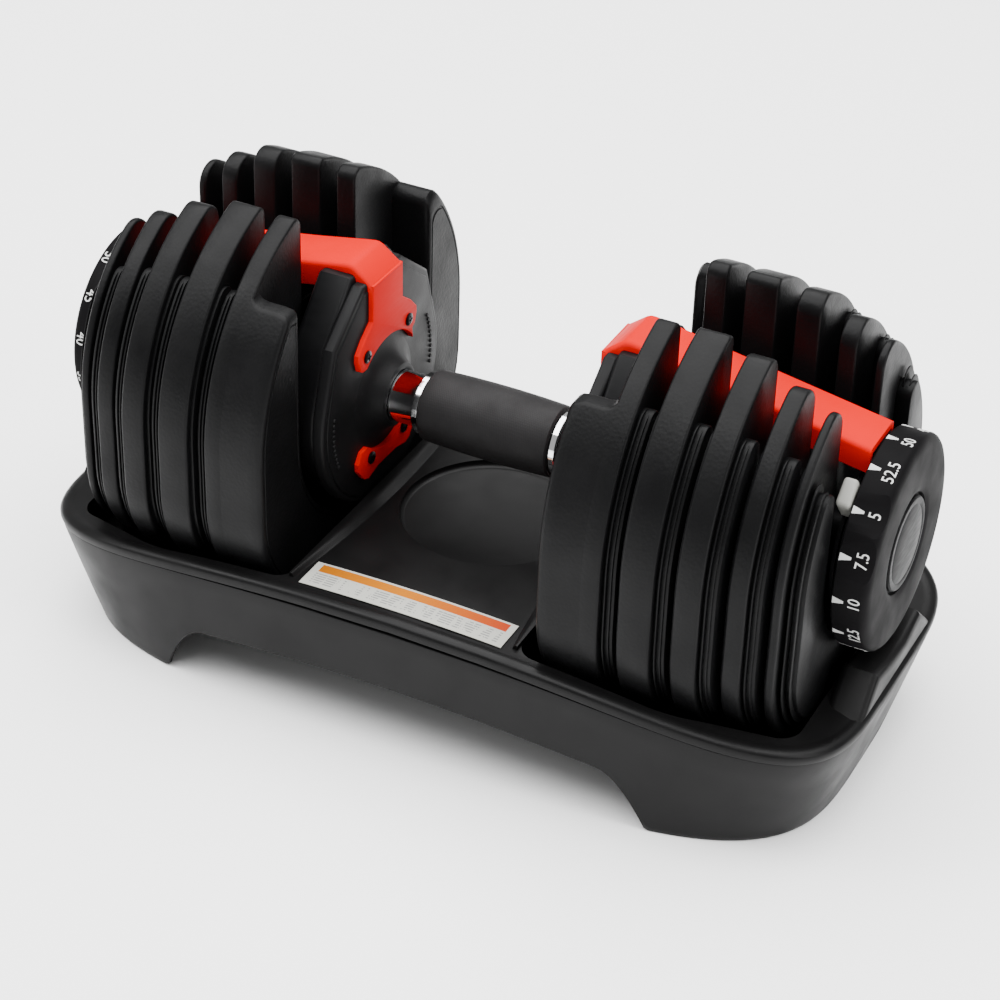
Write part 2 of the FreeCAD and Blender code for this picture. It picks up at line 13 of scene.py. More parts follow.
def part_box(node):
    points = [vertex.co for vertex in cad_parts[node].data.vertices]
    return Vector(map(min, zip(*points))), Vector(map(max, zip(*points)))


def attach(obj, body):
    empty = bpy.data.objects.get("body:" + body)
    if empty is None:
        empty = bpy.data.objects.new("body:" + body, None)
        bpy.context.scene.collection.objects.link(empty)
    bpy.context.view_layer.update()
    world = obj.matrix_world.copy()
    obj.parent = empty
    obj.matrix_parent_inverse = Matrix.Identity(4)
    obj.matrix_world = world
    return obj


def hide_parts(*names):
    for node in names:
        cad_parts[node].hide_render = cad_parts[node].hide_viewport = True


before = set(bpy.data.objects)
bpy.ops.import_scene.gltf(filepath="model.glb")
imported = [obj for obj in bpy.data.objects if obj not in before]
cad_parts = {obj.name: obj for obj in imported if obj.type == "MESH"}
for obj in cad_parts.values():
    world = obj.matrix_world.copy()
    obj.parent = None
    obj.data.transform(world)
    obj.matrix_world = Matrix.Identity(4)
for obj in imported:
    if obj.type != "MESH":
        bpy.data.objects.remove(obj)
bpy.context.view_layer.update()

MM = 0.001
SIDES = {"left": -1, "right": 1}


def centre_height(node):
    low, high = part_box(node)
    return (low[2] + high[2]) / 2.0 / MM


def reach(node):
    """Inner and outer distance of a node from the middle, along the handle."""
    low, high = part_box(node)
    ends = sorted((abs(low[0]) / MM, abs(high[0]) / MM))
    return ends[0], ends[1]


AXIS = centre_height("handle_tube")
PLATE_RISE = 3.9
PLATE_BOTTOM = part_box("left_plate_1")[0][2] / MM


# ---------------------------------------------------------------- finishes

def new_material(name, colour, rough, metallic=0.0, specular=0.5, coat=0.0):
    material = bpy.data.materials.new(name)
    material.use_nodes = True
    nodes = material.node_tree.nodes
    shader = nodes["Principled BSDF"]
    shader.inputs["Base Color"].default_value = (*colour, 1.0)
    shader.inputs["Roughness"].default_value = rough
    shader.inputs["Metallic"].default_value = metallic
    shader.inputs["Specular IOR Level"].default_value = specular
    shader.inputs["Coat Weight"].default_value = coat
    return material, shader


def object_noise(material, scale, detail=3.0, stretch=(1.0, 1.0, 1.0)):
    """Noise over the object's own coordinates, at so many blobs a metre."""
    nodes, links = material.node_tree.nodes, material.node_tree.links
    place = nodes.new("ShaderNodeTexCoord")
    mapping = nodes.new("ShaderNodeMapping")
    mapping.inputs["Scale"].default_value = stretch
    noise = nodes.new("ShaderNodeTexNoise")
    noise.inputs["Scale"].default_value = scale
    noise.inputs["Detail"].default_value = detail
    links.new(place.outputs["Object"], mapping.inputs["Vector"])
    links.new(mapping.outputs["Vector"], noise.inputs["Vector"])
    return noise


def vary_colour(material, shader, colour, spread, scale):
    """Mottle the colour a little between a darker and a lighter tone."""
    nodes, links = material.node_tree.nodes, material.node_tree.links
    noise = object_noise(material, scale)
    ramp = nodes.new("ShaderNodeValToRGB")
    ramp.color_ramp.elements[0].position = 0.3
    ramp.color_ramp.elements[1].position = 0.7
    ramp.color_ramp.elements[0].color = (*[part * (1.0 - spread) for part in colour], 1.0)
    ramp.color_ramp.elements[1].color = (*[part * (1.0 + spread) for part in colour], 1.0)
    links.new(noise.outputs["Fac"], ramp.inputs["Fac"])
    links.new(ramp.outputs["Color"], shader.inputs["Base Color"])


def vary_roughness(material, shader, low, high, scale, stretch=(1.0, 1.0, 1.0)):
    nodes, links = material.node_tree.nodes, material.node_tree.links
    noise = object_noise(material, scale, 5.0, stretch)
    span = nodes.new("ShaderNodeMapRange")
    span.inputs["From Min"].default_value = 0.3
    span.inputs["From Max"].default_value = 0.7
    span.inputs["To Min"].default_value = low
    span.inputs["To Max"].default_value = high
    links.new(noise.outputs["Fac"], span.inputs["Value"])
    links.new(span.outputs["Result"], shader.inputs["Roughness"])


def add_bump(material, shader, source, strength, distance):
    nodes, links = material.node_tree.nodes, material.node_tree.links
    bump = nodes.new("ShaderNodeBump")
    bump.inputs["Strength"].default_value = strength
    bump.inputs["Distance"].default_value = distance
    links.new(source, bump.inputs["Height"])
    earlier = shader.inputs["Normal"].links
    if earlier:
        links.new(earlier[0].from_socket, bump.inputs["Normal"])
    links.new(bump.outputs["Normal"], shader.inputs["Normal"])


def pebbles(material, scale):
    """Rounded cells, as on leather-grained plastic."""
    nodes, links = material.node_tree.nodes, material.node_tree.links
    place = nodes.new("ShaderNodeTexCoord")
    cells = nodes.new("ShaderNodeTexVoronoi")
    cells.feature = "SMOOTH_F1"
    cells.inputs["Scale"].default_value = scale
    cells.inputs["Smoothness"].default_value = 0.6
    links.new(place.outputs["Object"], cells.inputs["Vector"])
    return cells.outputs["Distance"]


def moulded_plastic(name, colour, rough, grain=700.0, depth=0.35, specular=0.5, spread=0.12):
    """Plastic with a moulded grain, uneven sheen and faint handling marks."""
    material, shader = new_material(name, colour, rough, specular=specular)
    vary_colour(material, shader, colour, spread, 35.0)
    vary_roughness(material, shader, rough - 0.06, rough + 0.09, 55.0)
    add_bump(material, shader, pebbles(material, grain), depth, 0.00012)
    fine = object_noise(material, 2600.0, 2.0)
    add_bump(material, shader, fine.outputs["Fac"], depth * 0.5, 0.00006)
    return material


def smooth_plastic(name, colour, rough, specular=0.5, coat=0.0, spread=0.06):
    """Plastic from a polished mould: faint ripples and fine scuffs only."""
    material, shader = new_material(name, colour, rough, specular=specular, coat=coat)
    shader.inputs["Coat Roughness"].default_value = 0.12
    vary_colour(material, shader, colour, spread, 25.0)
    vary_roughness(material, shader, rough - 0.04, rough + 0.07, 120.0, (1.0, 1.0, 6.0))
    add_bump(material, shader, object_noise(material, 90.0, 2.0).outputs["Fac"], 0.08, 0.0004)
    add_bump(material, shader, object_noise(material, 3000.0, 1.0).outputs["Fac"], 0.10, 0.00004)
    return material


def metal(name, colour, low, high, stretch, depth):
    """Bare metal with its turning or brushing marks along one way."""
    material, shader = new_material(name, colour, low, metallic=1.0)
    vary_colour(material, shader, colour, 0.05, 60.0)
    vary_roughness(material, shader, low, high, 200.0, stretch)
    lines = object_noise(material, 600.0, 4.0, stretch)
    add_bump(material, shader, lines.outputs["Fac"], depth, 0.00003)
    return material


def grip_rubber(name):
    """Soft rubber with a fine diamond pattern pressed in."""
    colour = (0.0080, 0.0075, 0.0078)
    material, shader = new_material(name, colour, 0.62, specular=0.15)
    nodes, links = material.node_tree.nodes, material.node_tree.links
    vary_colour(material, shader, colour, 0.15, 60.0)
    vary_roughness(material, shader, 0.55, 0.72, 90.0)
    place = nodes.new("ShaderNodeTexCoord")
    total = None
    for tilt in (35.0, -35.0):
        mapping = nodes.new("ShaderNodeMapping")
        mapping.inputs["Rotation"].default_value = (0.0, 0.0, math.radians(tilt))
        wave = nodes.new("ShaderNodeTexWave")
        wave.inputs["Scale"].default_value = 330.0
        links.new(place.outputs["Object"], mapping.inputs["Vector"])
        links.new(mapping.outputs["Vector"], wave.inputs["Vector"])
        if total is None:
            total = wave.outputs["Fac"]
        else:
            least = nodes.new("ShaderNodeMath")
            least.operation = "MINIMUM"
            links.new(total, least.inputs[0])
            links.new(wave.outputs["Fac"], least.inputs[1])
            total = least.outputs["Value"]
    add_bump(material, shader, total, 0.35, 0.0001)
    add_bump(material, shader, pebbles(material, 1500.0), 0.3, 0.00006)
    return material


def label_film(name, low_y, high_y, half):
    """White film with an orange band along its back edge and rows of fine grey dashes."""
    material, shader = new_material(name, (0.32, 0.32, 0.30), 0.32, specular=0.08)
    nodes, links = material.node_tree.nodes, material.node_tree.links
    place = nodes.new("ShaderNodeTexCoord")
    apart = nodes.new("ShaderNodeSeparateXYZ")
    links.new(place.outputs["Object"], apart.inputs["Vector"])

    def span(axis, low, high, to_low=0.0, to_high=1.0):
        node = nodes.new("ShaderNodeMapRange")
        node.inputs["From Min"].default_value = low
        node.inputs["From Max"].default_value = high
        node.inputs["To Min"].default_value = to_low
        node.inputs["To Max"].default_value = to_high
        links.new(apart.outputs[axis], node.inputs["Value"])
        return node.outputs["Result"]

    def ramp(source, stops, kind="CONSTANT"):
        node = nodes.new("ShaderNodeValToRGB")
        node.color_ramp.interpolation = kind
        while len(node.color_ramp.elements) < len(stops):
            node.color_ramp.elements.new(0.5)
        for element, (position, colour) in zip(node.color_ramp.elements, stops):
            element.position = position
            element.color = colour
        links.new(source, node.inputs["Fac"])
        return node.outputs["Color"]

    def mix(factor, first, second):
        node = nodes.new("ShaderNodeMix")
        node.data_type = "RGBA"
        links.new(factor, node.inputs["Factor"])
        for socket, value in (("A", first), ("B", second)):
            target = [item for item in node.inputs
                      if item.name == socket and item.type == "RGBA"][0]
            if isinstance(value, tuple):
                target.default_value = value
            else:
                links.new(value, target)
        return [item for item in node.outputs if item.type == "RGBA"][0]

    black, white = (0.0, 0.0, 0.0, 1.0), (1.0, 1.0, 1.0, 1.0)
    paper = (0.32, 0.32, 0.29, 1.0)
    orange = ramp(span("X", -half, half), [(0.0, (0.27, 0.078, 0.0002, 1.0)),
                                           (0.45, (0.34, 0.105, 0.0002, 1.0)),
                                           (1.0, (0.28, 0.016, 0.0002, 1.0))], "LINEAR")
    across = span("Y", low_y, high_y)
    in_band = ramp(across, [(0.0, black), (0.62, white), (0.93, black)])
    inside = ramp(span("X", -half, half), [(0.0, black), (0.035, white), (0.965, black)])
    band = nodes.new("ShaderNodeMath")
    band.operation = "MULTIPLY"
    links.new(in_band, band.inputs[0])
    links.new(inside, band.inputs[1])
    rows = nodes.new("ShaderNodeTexWave")
    rows.bands_direction = "Y"
    rows.inputs["Scale"].default_value = 190.0
    links.new(place.outputs["Object"], rows.inputs["Vector"])
    dashes = object_noise(material, 1400.0, 1.0, (0.5, 0.06, 0.06))
    row_mask = ramp(rows.outputs["Fac"], [(0.0, black), (0.62, white)])
    dash_mask = ramp(dashes.outputs["Fac"], [(0.0, black), (0.50, white)])
    lower = ramp(across, [(0.0, black), (0.10, white), (0.56, black)])
    marks = None
    for mask in (row_mask, dash_mask, lower, inside):
        if marks is None:
            marks = mask
            continue
        both = nodes.new("ShaderNodeMath")
        both.operation = "MULTIPLY"
        links.new(marks, both.inputs[0])
        links.new(mask, both.inputs[1])
        marks = both.outputs["Value"]
    printed = mix(marks, paper, (0.15, 0.15, 0.15, 1.0))
    links.new(mix(band.outputs["Value"], printed, orange), shader.inputs["Base Color"])
    vary_roughness(material, shader, 0.28, 0.38, 90.0)
    add_bump(material, shader, object_noise(material, 150.0).outputs["Fac"], 0.05, 0.0003)
    return material


PLATE_BLACK = moulded_plastic("plate_leather_grain", (0.0026, 0.0026, 0.0028), 0.42, 620.0,
                              0.6, 0.09)
DIAL_BLACK = moulded_plastic("dial_fine_grain", (0.0040, 0.0038, 0.0041), 0.56, 1500.0, 0.18, 0.025)
CAP_GREY = smooth_plastic("cap_satin", (0.0045, 0.0045, 0.0048), 0.44, 0.05)
GUARD_GREY = moulded_plastic("guard_fine_grain", (0.0048, 0.0048, 0.0051), 0.48, 1300.0, 0.2, 0.10)
INNER_BLACK = smooth_plastic("inner_moulding", (0.0026, 0.0026, 0.0029), 0.42, 0.12)
BASE_BLACK = moulded_plastic("base_satin", (0.0034, 0.0033, 0.0034), 0.38, 1700.0, 0.12, 0.10)
STRAP_RED = smooth_plastic("strap_red", (0.46, 0.0002, 0.0001), 0.42, 0.025)
CHROME = metal("collar_chrome", (0.86, 0.86, 0.87), 0.05, 0.10, (12.0, 1.0, 1.0), 0.05)
STEEL = metal("tube_steel", (0.55, 0.56, 0.58), 0.22, 0.34, (14.0, 1.0, 1.0), 0.2)
SCREW_DARK = metal("screw_dark_steel", (0.02, 0.02, 0.022), 0.32, 0.45, (1.0, 1.0, 1.0), 0.1)
IRON = metal("core_iron", (0.20, 0.20, 0.21), 0.5, 0.65, (1.0, 1.0, 1.0), 0.4)
GRIP = grip_rubber("grip_diamond_rubber")
FOOT = moulded_plastic("foot_rubber", (0.012, 0.012, 0.012), 0.75, 1200.0, 0.3, 0.3)
PALE = smooth_plastic("pointer_pale", (0.24, 0.24, 0.22), 0.45, 0.3)
PRINT = smooth_plastic("dial_print_white", (0.50, 0.50, 0.49), 0.5, 0.2)


# ---------------------------------------------------------------- mesh helpers

class Outline:
    """A closed outline in the YZ plane, drawn one run at a time."""

    def __init__(self, y, z):
        self.bm = bmesh.new()
        self.last = self.bm.verts.new((0.0, y * MM, z * MM))

    def line(self, y, z):
        added = bmesh.ops.extrude_vert_indiv(self.bm, verts=[self.last])
        self.last = added["verts"][0]
        self.last.co = (0.0, y * MM, z * MM)
        return self

    def arc(self, y, z, degrees, steps):
        """Turn the last point about a centre; positive goes from +Y towards +Z."""
        swept = bmesh.ops.spin(self.bm, geom=[self.last], cent=(0.0, y * MM, z * MM),
                               axis=(1.0, 0.0, 0.0), dvec=(0.0, 0.0, 0.0),
                               angle=math.radians(degrees), steps=steps, use_duplicate=False)
        self.last = [item for item in swept["geom_last"] if isinstance(item, bmesh.types.BMVert)][0]
        return self

    def close(self):
        """Join the last point to the first."""
        bm = self.bm
        bmesh.ops.remove_doubles(bm, verts=bm.verts, dist=0.00001)
        loose = [vert for vert in bm.verts if len(vert.link_edges) == 1]
        if len(loose) == 2:
            bm.edges.new(loose)
        return bm

    def slab(self, side, low, high, soften=0.8, segments=3, ends=(True, True)):
        """Close the outline, pad it along X and round the rims of its two faces."""
        bm = self.close()
        bmesh.ops.contextual_create(bm, geom=bm.edges[:])
        bmesh.ops.translate(bm, verts=bm.verts, vec=(side * low * MM, 0.0, 0.0))
        first = bm.faces[:]
        padded = bmesh.ops.extrude_face_region(bm, geom=first)
        moved = [item for item in padded["geom"] if isinstance(item, bmesh.types.BMVert)]
        bmesh.ops.translate(bm, verts=moved, vec=(side * (high - low) * MM, 0.0, 0.0))
        bmesh.ops.recalc_face_normals(bm, faces=bm.faces)
        rims = []
        for wanted, at in zip(ends, (side * low * MM, side * high * MM)):
            if wanted:
                rims += [edge for edge in bm.edges
                         if all(abs(vert.co.x - at) < 1e-6 for vert in edge.verts)]
        if soften:
            bmesh.ops.bevel(bm, geom=rims, offset=soften * MM, offset_type="OFFSET",
                            segments=segments, profile=0.5, affect="EDGES", material=-1,
                            clamp_overlap=True)
        return bm


def join(target, *others):
    """Add other meshes to one mesh."""
    for other in others:
        mesh = bpy.data.meshes.new("part")
        other.to_mesh(mesh)
        target.from_mesh(mesh)
        bpy.data.meshes.remove(mesh)
        other.free()
    return target


def loft(side, sections):
    """A closed solid through a row of outlines, each with its distance along X."""
    body = bmesh.new()
    earlier = []
    for along, outline in sections:
        rim = outline.close()
        bmesh.ops.translate(rim, verts=rim.verts, vec=(side * along * MM, 0.0, 0.0))
        known = set(body.edges)
        join(body, rim)
        fresh = [edge for edge in body.edges if edge not in known]
        if earlier:
            bmesh.ops.bridge_loops(body, edges=earlier + fresh)
        earlier = fresh
    open_ends = [edge for edge in body.edges if len(edge.link_faces) == 1]
    bmesh.ops.holes_fill(body, edges=open_ends, sides=0)
    bmesh.ops.recalc_face_normals(body, faces=body.faces)
    return body


def turned(points, steps=96):
    """A ring turned about the handle's axis from (distance along X, radius) points."""
    bm = bmesh.new()
    verts = [bm.verts.new((along * MM, 0.0, radius * MM)) for along, radius in points]
    for index, vert in enumerate(verts):
        bm.edges.new((vert, verts[(index + 1) % len(verts)]))
    bmesh.ops.spin(bm, geom=bm.verts[:] + bm.edges[:], cent=(0.0, 0.0, 0.0), axis=(1.0, 0.0, 0.0),
                   dvec=(0.0, 0.0, 0.0), angle=math.tau, steps=steps, use_merge=True,
                   use_duplicate=False)
    bmesh.ops.remove_doubles(bm, verts=bm.verts, dist=0.000002)
    bmesh.ops.recalc_face_normals(bm, faces=bm.faces)
    bmesh.ops.translate(bm, verts=bm.verts, vec=(0.0, 0.0, AXIS * MM))
    return bm


def mirrored(side, points):
    return [(side * along, radius) for along, radius in points]


def box_mesh(low, high, soften=0.0, segments=2):
    """A box between two corners in millimetres, with its edges rounded."""
    bm = bmesh.new()
    bmesh.ops.create_cube(bm, size=1.0)
    size = [(b - a) * MM for a, b in zip(low, high)]
    middle = [(a + b) / 2.0 * MM for a, b in zip(low, high)]
    bmesh.ops.scale(bm, vec=size, verts=bm.verts)
    bmesh.ops.translate(bm, vec=middle, verts=bm.verts)
    if soften:
        bmesh.ops.bevel(bm, geom=bm.edges[:], offset=soften * MM, offset_type="OFFSET",
                        segments=segments, profile=0.5, affect="EDGES", material=-1)
    return bm


def finish_piece(name, bm, material, body, nodes=(), angle=32.0):
    """Make a named object of a mesh, tie it to its body and hide the nodes it stands for."""
    mesh = bpy.data.meshes.new(name)
    bm.to_mesh(mesh)
    bm.free()
    for face in mesh.polygons:
        face.use_smooth = True
    mesh.set_sharp_from_angle(angle=math.radians(angle))
    piece = bpy.data.objects.new(name, mesh)
    bpy.context.scene.collection.objects.link(piece)
    mesh.materials.append(material)
    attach(piece, body)
    if nodes:
        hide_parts(*nodes)
    return piece


def carve(bm, *cutters):
    """Cut other meshes out of a mesh."""
    scene = bpy.context.scene
    made = []
    for item in (bm, *cutters):
        mesh = bpy.data.meshes.new("cut")
        item.to_mesh(mesh)
        made.append(bpy.data.objects.new("cut", mesh))
        scene.collection.objects.link(made[-1])
    for cutter in made[1:]:
        modifier = made[0].modifiers.new("cut", "BOOLEAN")
        modifier.operation = "DIFFERENCE"
        modifier.solver = "EXACT"
        modifier.object = cutter
    graph = bpy.context.evaluated_depsgraph_get()
    result = bmesh.new()
    result.from_object(made[0], graph)
    for item in made:
        mesh = item.data
        bpy.data.objects.remove(item)
        bpy.data.meshes.remove(mesh)
    bm.free()
    for cutter in cutters:
        cutter.free()
    return result


# ---------------------------------------------------------------- weight plates

def tip_of(radius, slot, tip):
    """Height of a horn tip's centre above the rim's centre, and its direction in degrees."""
    across = slot + tip
    up = math.sqrt((radius - tip) ** 2 - across ** 2)
    return up, math.degrees(math.atan2(up, across))


def level_corner(rim, top, bend):
    """Where a level top's round corner has its centre, and its direction in degrees."""
    rise = top - bend
    across = math.sqrt((rim - bend) ** 2 - rise ** 2)
    return across, math.degrees(math.atan2(rise, across))


def plate_outline(radius, slot, tip, drop=0.0, front_top=None):
    """A plate from the side, open from the top down to the handle.

    The back half ends in a round horn.  The front half does too, or in a level top at a
    height above the rim's centre.  A drop brings the whole rim in by that much.
    """
    centre = AXIS + PLATE_RISE
    corner = 60.0 * radius / 96.0
    rim, nose = radius - drop, 1.2
    up, tip_lean = tip_of(rim, slot, tip)
    line = Outline(-slot, AXIS)
    if front_top is None:
        lean = tip_lean
        line.line(-slot, centre + up).arc(-slot - tip, centre + up, 180.0 - lean, 8)
    else:
        across, lean = level_corner(rim, front_top, LEVEL_BEND)
        top = centre + front_top
        line.line(-slot, top - nose).arc(-slot - nose, top - nose, 90.0, 4)
        line.line(-across, top).arc(-across, top - LEVEL_BEND, 90.0 - lean, 6)
    line.arc(0.0, centre, lean, 30).line(-rim, PLATE_BOTTOM + corner)
    line.arc(-radius + corner, PLATE_BOTTOM + corner, 90.0, 14)
    line.line(radius - corner, PLATE_BOTTOM + drop)
    line.arc(radius - corner, PLATE_BOTTOM + corner, 90.0, 14).line(rim, centre)
    line.arc(0.0, centre, tip_lean, 30).arc(slot + tip, centre + up, 180.0 - tip_lean, 8)
    return line.line(slot, AXIS).arc(0.0, AXIS, -180.0, 32)


# Of each plate, counted from the grip: its rim's radius, and the radius of its horns' tips.
PLATE_RADII = {1: 96.0, 2: 96.0, 3: 94.0, 4: 87.0, 5: 80.5}
PLATE_TIPS = {1: 5.0, 2: 4.0, 3: 8.0, 4: 10.0, 5: 10.0}
# Half widths of the openings for the handle and for the guard, and where the innermost
# plate's thick part ends along X and at the top of its front, with that top's round corner.
SLOT, GUARD_SLOT = 24.0, 60.0
THICK_OUT, THICK_TOP = 89.0, 71.0
LEVEL_BEND = 3.5
# How far a plate's steps stand out on either face, and the opening in them as a share of
# the plate's radius, with the radius of their tips.
STEP_OUT, STEP_IN = 5.7, 1.3
STEP_SLOT, STEP_TIP = 0.57, 6.0


def thick_part(side, low, radius):
    """The innermost plate's thick part: low in front of the guard and full behind it.

    Its inner face has a fine groove inside a round edge, and its front top slopes down
    towards the grip and curves up to the horn.
    """
    top = THICK_TOP - PLATE_RISE
    stations = [(low, 4.6, -1.6), (low, 4.0, -1.6), (low + 0.5, 3.8, -1.6), (low + 0.5, 3.4, -1.6),
                (low + 0.1, 3.2, -1.5), (low + 0.1, 2.6, -1.5), (low + 0.5, 1.5, -1.3),
                (low + 1.3, 0.6, -1.0), (low + 2.8, 0.0, -0.6), (low + 7.0, 0.0, 0.0)]
    stations += [(THICK_OUT - back, 0.0, up) for back, up in ((6.0, 0.0), (3.5, 0.5), (1.8, 1.5),
                                                              (0.7, 2.8), (0.0, 4.2))]
    return loft(side, [(along, plate_outline(radius, GUARD_SLOT + drop, 6.0, drop, top - drop + up))
                       for along, drop, up in stations])


def make_plate(name, side, number):
    node = f"{name}_plate_{number}"
    low, high = reach(node)
    radius, tip = PLATE_RADII[number], PLATE_TIPS[number]
    outermost = number == 5
    step_drop = 10.0 if outermost else 4.0
    rim_high = high - STEP_OUT - (1.5 if outermost else 0.0)
    step_slot = radius * STEP_SLOT
    if number == 1:
        body = thick_part(side, low, radius)
        join(body, plate_outline(radius, SLOT, tip).slab(side, THICK_OUT - 1.3, rim_high, 1.3, 3))
    else:
        rim_low = low + STEP_IN
        body = plate_outline(radius, SLOT, tip).slab(side, rim_low, rim_high, 1.3, 3)
        inner = plate_outline(radius, step_slot, STEP_TIP, 3.4)
        join(body, inner.slab(side, low, rim_low + 1.0, 0.5, 2))
    step = plate_outline(radius, step_slot, STEP_TIP, step_drop)
    join(body, step.slab(side, rim_high - 0.3, high, 0.9, 2))
    for share, depth in ((0.24, 0.5), (0.62, 0.72)):
        ridge = plate_outline(radius, step_slot + 2.0, STEP_TIP, step_drop * depth)
        start = rim_high + (high - rim_high) * share
        join(body, ridge.slab(side, start, start + 0.7, 0.25, 2))
    corners = lug_corners(side, rim_high - 0.2, high - 3.6)
    join(body, box_mesh(*corners, 0.4))
    finish_piece(f"{name}_weight_{number}", body, PLATE_BLACK, f"plates_{number}", [node])


def lug_corners(side, low, high):
    """The corners of the lug a plate hangs by, between two distances along X."""
    ends = sorted((side * low, side * high))
    return (ends[0], -4.0, AXIS - 31.8), (ends[1], 4.0, AXIS - 26.5)


# ---------------------------------------------------------------- dials

SETTINGS = ["5", "7.5", "10", "12.5", "15", "17.5", "20", "22.5", "25", "30", "35", "40", "45",
            "50", "52.5"]
STEP = 24.0
FIRST_MARK = {"left": 111.0, "right": 44.0}
DIAL_RADIUS, CAP_RADIUS = 49.5, 23.0
SCOOP_RADIUS, SCOOP_BITE = 34.0, 1.3
NUMERAL_HEIGHT, MARK_THICK = 5.6, 0.2


def front_point(degrees, distance):
    """Y and Z of a point so many degrees up from the front, about the handle's axis."""
    turn = math.radians(degrees)
    return -distance * math.cos(turn), AXIS + distance * math.sin(turn)


def scoop(side, degrees, low, high):
    """A long round cutter that dips deeper towards the dial's outer face."""
    bm = bmesh.new()
    bmesh.ops.create_cone(bm, cap_ends=True, segments=96, radius1=SCOOP_RADIUS * MM,
                          radius2=SCOOP_RADIUS * MM, depth=0.04)
    bmesh.ops.rotate(bm, verts=bm.verts, cent=(0, 0, 0),
                     matrix=Matrix.Rotation(math.pi / 2, 3, "Y"))
    bmesh.ops.rotate(bm, verts=bm.verts, cent=(0, 0, 0),
                     matrix=Matrix.Rotation(math.radians(side * 9.0), 3, "Y"))
    lift = DIAL_RADIUS + SCOOP_RADIUS - SCOOP_BITE
    bmesh.ops.translate(bm, verts=bm.verts, vec=(side * (low + high) / 2.0 * MM, 0.0, lift * MM))
    bmesh.ops.rotate(bm, verts=bm.verts, cent=(0, 0, 0),
                     matrix=Matrix.Rotation(math.radians(90.0 - degrees), 3, "X"))
    bmesh.ops.translate(bm, verts=bm.verts, vec=(0.0, 0.0, AXIS * MM))
    return bm


def make_dial(name, side):
    low, high = reach(f"{name}_dial")
    profile = [(low, 46.3), (low + 0.3, 49.1), (low + 0.9, DIAL_RADIUS), (high - 3.4, DIAL_RADIUS),
               (high - 2.2, 49.1), (high - 1.1, 48.0), (high - 0.3, 46.2), (high, 43.6),
               (high, 27.0), (high - 0.3, 25.0), (high - 1.0, CAP_RADIUS + 0.5),
               (high - 2.6, CAP_RADIUS), (high - 2.6, 8.2), (low, 8.2), (low, 15.0),
               (high - 6.0, 15.0), (high - 6.0, 46.3)]
    ring = turned(mirrored(side, profile), 128)
    cutters = [scoop(side, FIRST_MARK[name] - side * STEP * index, low, high) for index in (0, 1)]
    ring = carve(ring, *cutters)
    surface = BVHTree.FromBMesh(ring)
    finish_piece(f"{name}_knob", ring, DIAL_BLACK, f"{name}_selector", [f"{name}_dial"], 28.0)
    marks = bmesh.new()
    for index, words in enumerate(SETTINGS):
        angle = FIRST_MARK[name] - side * STEP * index
        join(marks, flat_words(words, NUMERAL_HEIGHT, MARK_THICK), flat_wedge(MARK_THICK))
        fresh = [vert for vert in marks.verts if not vert.tag]
        wrap_on_dial(fresh, side, angle, low, surface)
    finish_piece(f"{name}_dial_print", marks, PRINT, f"{name}_selector")
    cap_low, cap_high = reach(f"{name}_dial_cap")
    cap = [(cap_low, 0.01), (cap_low, CAP_RADIUS - 1.2), (cap_high - 1.4, CAP_RADIUS - 1.2),
           (cap_high - 0.6, CAP_RADIUS - 1.8), (cap_high - 0.5, CAP_RADIUS - 4.0),
           (cap_high - 0.9, CAP_RADIUS - 4.8), (cap_high - 0.4, CAP_RADIUS - 6.0),
           (cap_high, 8.0), (cap_high, 0.01)]
    finish_piece(f"{name}_badge", turned(mirrored(side, cap), 96), CAP_GREY, f"{name}_selector",
                 [f"{name}_dial_cap"])


def flat_words(words, height, thick):
    """Numerals standing flat: X runs along the words, Y up the letters, Z is the thickness."""
    curve = bpy.data.curves.new("words", "FONT")
    curve.body = words
    curve.size = height * 1.36 * MM
    curve.align_x = "CENTER"
    curve.resolution_u = 4
    holder = bpy.data.objects.new("words", curve)
    bpy.context.scene.collection.objects.link(holder)
    graph = bpy.context.evaluated_depsgraph_get()
    mesh = bpy.data.meshes.new_from_object(holder.evaluated_get(graph))
    bm = bmesh.new()
    bm.from_mesh(mesh)
    bpy.data.objects.remove(holder)
    bpy.data.curves.remove(curve)
    bpy.data.meshes.remove(mesh)
    bmesh.ops.scale(bm, verts=bm.verts, vec=(0.86, 1.0, 1.0))
    bmesh.ops.translate(bm, verts=bm.verts, vec=(0.0, -height / 2.0 * MM - 0.0022, 0.0))
    padded = bmesh.ops.extrude_face_region(bm, geom=bm.faces[:])
    moved = [item for item in padded["geom"] if isinstance(item, bmesh.types.BMVert)]
    bmesh.ops.translate(bm, verts=moved, vec=(0.0, 0.0, thick * MM))
    bmesh.ops.recalc_face_normals(bm, faces=bm.faces)
    return bm


def flat_wedge(thick):
    """The setting mark: broad at the dial's inner edge and narrower towards the numeral."""
    bm = bmesh.new()
    corners = [(-1.75, 7.2), (1.75, 7.2), (0.55, 2.2), (-0.55, 2.2)]
    bm.faces.new([bm.verts.new((x * MM, y * MM, 0.0)) for x, y in corners])
    padded = bmesh.ops.extrude_face_region(bm, geom=bm.faces[:])
    moved = [item for item in padded["geom"] if isinstance(item, bmesh.types.BMVert)]
    bmesh.ops.translate(bm, verts=moved, vec=(0.0, 0.0, thick * MM))
    bmesh.ops.recalc_face_normals(bm, faces=bm.faces)
    return bm


